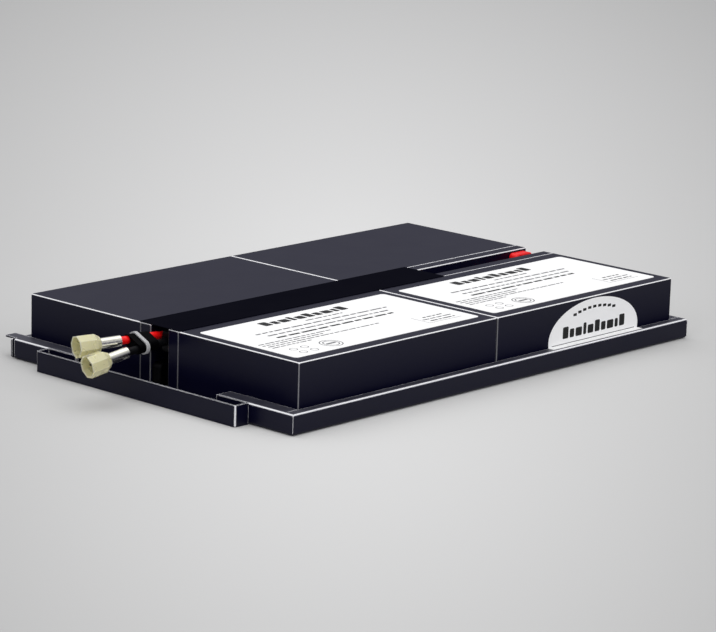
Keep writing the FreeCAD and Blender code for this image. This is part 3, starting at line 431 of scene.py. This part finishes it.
def add_bar(bm, u, v, width, height, corner=0.0):
    """A flat bar with its lower left corner at (u, v), all in millimetres."""
    place = Matrix.Translation((u + width / 2, v + height / 2, INK_THICKNESS / 2))
    stretch = Matrix.Diagonal((width, height, INK_THICKNESS, 1))
    made = bmesh.ops.create_cube(bm, size=1, matrix=place @ stretch)
    if corner:
        upright = {edge for vert in made["verts"] for edge in vert.link_edges
                   if abs(edge.verts[0].co.z - edge.verts[1].co.z) > INK_THICKNESS / 2}
        bmesh.ops.bevel(bm, geom=list(upright), offset=corner, offset_type="OFFSET", segments=3,
                        profile=0.5, affect="EDGES", material=-1)


def add_line(bm, words, u, v, length, height):
    """A line of words: bars of uneven length with small spaces."""
    end = u + length
    while u < end - height:
        word = min(words.uniform(*WORD_LENGTHS) * height, end - u)
        add_bar(bm, u, v, word, height, corner=height * LETTER_CORNER)
        u += word + height * WORD_SPACE


def add_ring(bm, u, v, radius, width):
    """A flat ring: a circle's outline spun once round its middle."""
    inner, outer = u + radius - width, u + radius
    profile = [bm.verts.new(corner) for corner in (
        (inner, v, 0), (outer, v, 0), (outer, v, INK_THICKNESS), (inner, v, INK_THICKNESS))]
    outline = [bm.edges.new((profile[i], profile[(i + 1) % 4])) for i in range(4)]
    bmesh.ops.spin(bm, geom=outline, cent=(u, v, 0), axis=(0, 0, 1), angle=math.tau, steps=32,
                   use_merge=True)


def ink_piece(name, bm, to_row, material):
    """Finish a bmesh drawn in a label's own millimetres and place it in the row's frame."""
    bmesh.ops.remove_doubles(bm, verts=bm.verts, dist=1e-6)
    bmesh.ops.recalc_face_normals(bm, faces=bm.faces)
    bmesh.ops.transform(bm, matrix=to_row @ Matrix.Scale(MM, 4), verts=bm.verts)
    mesh = bpy.data.meshes.new(name)
    bm.to_mesh(mesh)
    bm.free()
    piece = bpy.data.objects.new(name, mesh)
    bpy.context.scene.collection.objects.link(piece)
    dress(piece, material)
    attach(piece, "root")
    print(name, len(mesh.polygons), "faces")


black_ink = finish("black_ink", (0.004, 0.004, 0.004), 0.5, specular=0.3, grain_mm=0.5, bump_mm=0.001)
grey_ink = finish("grey_ink", (0.14, 0.14, 0.15), 0.5, specular=0.3, grain_mm=0.5, bump_mm=0.001)

# %% Ink on the two top labels
# Rows of print: start along the label, height up the label, length and letter height.
BOLD_LINES = ((23, 35.0, 88, 2.0), (114, 17.0, 15, 1.2), (112, 9.5, 19, 1.2))
LIGHT_LINES = ((62, 52.5, 28, 1.3), (19, 46.5, 99, 1.5), (22, 40.8, 91, 1.5), (4, 30.0, 53, 1.1),
               (4, 27.0, 46, 1.1), (5, 24.0, 84, 1.1), (5, 21.0, 30, 1.1), (110, 13.2, 22, 1.2))
# Letters of the title, as blocks: start along the label, width and height.
TITLE_BLOCKS = ((37, 5.6, 7.6), (44, 4.4, 5.6), (49.8, 6.4, 5.6), (57.6, 3.0, 7.6), (62, 5.8, 5.6),
                (69.2, 5.0, 7.6), (75.6, 4.6, 5.6), (81.6, 6.6, 5.6), (89.6, 3.2, 5.6), (94.2, 5.4, 7.6))
TITLE_BASE = 57.3
# A corner of two thin lines: start, height, width and height of each.
TABLE_LINES = ((108, 7.4, 0.35, 13.0), (108, 7.0, 25.0, 0.35))
# Four small rings and one double ring with a bar across it: middle, radius and width of line.
RINGS = ((12, 13.5, 2.3, 0.45), (20, 13.5, 2.3, 0.45), (12, 6.5, 2.3, 0.45), (20, 6.5, 2.3, 0.45),
         (36, 10.2, 6.4, 0.6), (36, 10.2, 4.6, 0.6))
RING_BAR = (32.6, 9.3, 6.8, 1.8)


def top_label_ink(label, seed):
    """The bold and the light print of one top label."""
    low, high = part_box(label)
    to_row = Matrix.Translation((low.x, low.y, high.z))
    words = random.Random(seed)
    bold = bmesh.new()
    for u, width, height in TITLE_BLOCKS:
        add_bar(bold, u, TITLE_BASE, width, height, corner=0.9)
    for u, v, length, height in BOLD_LINES:
        add_line(bold, words, u, v, length, height)
    ink_piece(f"{label}_bold_print", bold, to_row, black_ink)
    light = bmesh.new()
    for u, v, length, height in LIGHT_LINES:
        add_line(light, words, u, v, length, height)
    for table_line in TABLE_LINES:
        add_bar(light, *table_line)
    for ring in RINGS:
        add_ring(light, *ring)
    add_bar(light, *RING_BAR, corner=0.5)
    ink_piece(f"{label}_light_print", light, to_row, grey_ink)


top_label_ink("top_label_left", 11)
top_label_ink("top_label_right", 23)

# %% Ink on the oval seal
# The seal stands upright on the battery's side, so its print is turned up by a quarter turn. It has the
# same title, a little smaller, an arc of short bars over it and a thin line below it.
LABEL_THICKNESS = 0.15
TITLE_MIDDLE = 68.3
TITLE_SCALE = 0.86
ARC_HALF_WIDTH, ARC_HEIGHT = 36, 19.4
ARC_ANGLES = range(62, 119, 7)        # degrees

low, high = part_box("seal_label")
label_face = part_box("case_2")[0].y - LABEL_THICKNESS * MM
quarter_turn = Euler((math.pi / 2, 0, 0)).to_matrix().to_4x4()
upright = Matrix.Translation(((low.x + high.x) / 2, label_face, low.z)) @ quarter_turn
seal = bmesh.new()
for u, width, height in TITLE_BLOCKS:
    add_bar(seal, (u - TITLE_MIDDLE) * TITLE_SCALE, 3.4, width * TITLE_SCALE, height * TITLE_SCALE,
            corner=0.8)
for degrees in ARC_ANGLES:
    angle = math.radians(degrees)
    lift = ARC_HEIGHT * math.sin(angle) - 0.6
    add_bar(seal, ARC_HALF_WIDTH * math.cos(angle) - 1.5, lift - 1.6, 2.9, 1.5, corner=0.3)
add_bar(seal, -ARC_HALF_WIDTH, 0.5, 2 * ARC_HALF_WIDTH, 0.35)
ink_piece("seal_print", seal, upright, black_ink)

# %% [markdown]
# ## Studio
# The floor is pale with a painted pool of light: brightest round the cartridge and darker towards the
# corners of the view.
# Its shade depends on how far from the view's middle a point is seen, so the coordinates are the
# camera's own. A bright world and large soft lamps light it evenly, so that the shadow is only a soft
# dark line under the tray. The world is dim near the horizon, because the batteries' tops mirror that
# part.

# %% Floor
FLOOR_HALF_SIZE = 8
FLOOR_DROP = 0.0002        # keeps the floor clear of the tray's underside
FLOOR_EDGE, FLOOR_MIDDLE = (0.46, 0.46, 0.46), (0.712, 0.712, 0.712)
# The painted glow's radius and its middle's place, as slopes away from the direction in which the camera
# looks.
GLOW_RADIUS = 0.154
GLOW_CENTRE = (0.0040, 0.0035)

floor_mesh = bpy.data.meshes.new("floor")
bm = bmesh.new()
bmesh.ops.create_grid(bm, x_segments=1, y_segments=1, size=FLOOR_HALF_SIZE)
bmesh.ops.translate(bm, verts=bm.verts, vec=(0, 0, -FLOOR_DROP))
bm.to_mesh(floor_mesh)
bm.free()
floor = bpy.data.objects.new("floor", floor_mesh)
bpy.context.scene.collection.objects.link(floor)

floor_paint = bpy.data.materials.new("floor_paint")
floor_paint.use_nodes = True
tree = floor_paint.node_tree
shader = tree.nodes["Principled BSDF"]
shader.inputs["Roughness"].default_value = 0.9
shader.inputs["Specular IOR Level"].default_value = 0.1
coordinates = tree.nodes.new("ShaderNodeTexCoord")
coordinates.object = camera
seen = tree.nodes.new("ShaderNodeSeparateXYZ")
tree.links.new(coordinates.outputs["Object"], seen.inputs[0])
distance = maths(tree, "MULTIPLY", seen.outputs["Z"], -GLOW_RADIUS)
glow = tree.nodes.new("ShaderNodeCombineXYZ")
for axis, centre in zip("XY", GLOW_CENTRE):
    slope = maths(tree, "DIVIDE", seen.outputs[axis], distance)
    offset = maths(tree, "SUBTRACT", slope, centre / GLOW_RADIUS)
    tree.links.new(offset, glow.inputs[axis])
fade = tree.nodes.new("ShaderNodeTexGradient")
fade.gradient_type = "SPHERICAL"
tree.links.new(glow.outputs["Vector"], fade.inputs["Vector"])
# Painted light: the floor's colour runs from a pale middle round the cartridge to a darker edge.
tree.links.new(mixed(tree, fade.outputs["Fac"], FLOOR_EDGE, FLOOR_MIDDLE), shader.inputs["Base Color"])
dress(floor, floor_paint)
print("floor", 2 * FLOOR_HALF_SIZE, "m wide")

# %% World and lamps
HORIZON_COLOUR, ZENITH_COLOUR = (0.10, 0.10, 0.15), (1.12, 1.12, 1.09)
HORIZON_SPREAD = 1.5       # a larger power keeps the dim part higher up
WORLD_STRENGTH = 1.1

world = bpy.data.worlds.new("studio")
bpy.context.scene.world = world
world.use_nodes = True
tree = world.node_tree
background = tree.nodes["Background"]
coordinates = tree.nodes.new("ShaderNodeTexCoord")
parts = tree.nodes.new("ShaderNodeSeparateXYZ")
tree.links.new(coordinates.outputs["Generated"], parts.inputs[0])
height = maths(tree, "POWER", maths(tree, "MAXIMUM", parts.outputs["Z"], 0.0), HORIZON_SPREAD)
tree.links.new(mixed(tree, height, HORIZON_COLOUR, ZENITH_COLOUR), background.inputs["Color"])
background.inputs["Strength"].default_value = WORLD_STRENGTH


def soft_lamp(name, place, size, power):
    """A square lamp of a size in metres and a power in watts, turned to the origin."""
    lamp_data = bpy.data.lights.new(name, "AREA")
    lamp_data.shape = "RECTANGLE"
    lamp_data.size = size
    lamp_data.size_y = size
    lamp_data.energy = power
    lamp = bpy.data.objects.new(name, lamp_data)
    turn = (-Vector(place)).to_track_quat("-Z", "Y").to_matrix().to_4x4()
    lamp.matrix_world = Matrix.Translation(place) @ turn
    bpy.context.scene.collection.objects.link(lamp)
    print(name, power, "W")


soft_lamp("overhead_lamp", (0.3, 0.5, 2.4), 3.0, 22)
soft_lamp("front_lamp", (-0.4, -2.2, 1.2), 1.2, 14)
soft_lamp("left_lamp", (-2.2, -0.6, 1.0), 1.0, 8)
bpy.context.scene.view_settings.view_transform = "Standard"

# %% [markdown]
# ## Updating the scene
# The dressed model has to fill the same box as the construction model.

# %% Update the scene
bpy.context.view_layer.update()
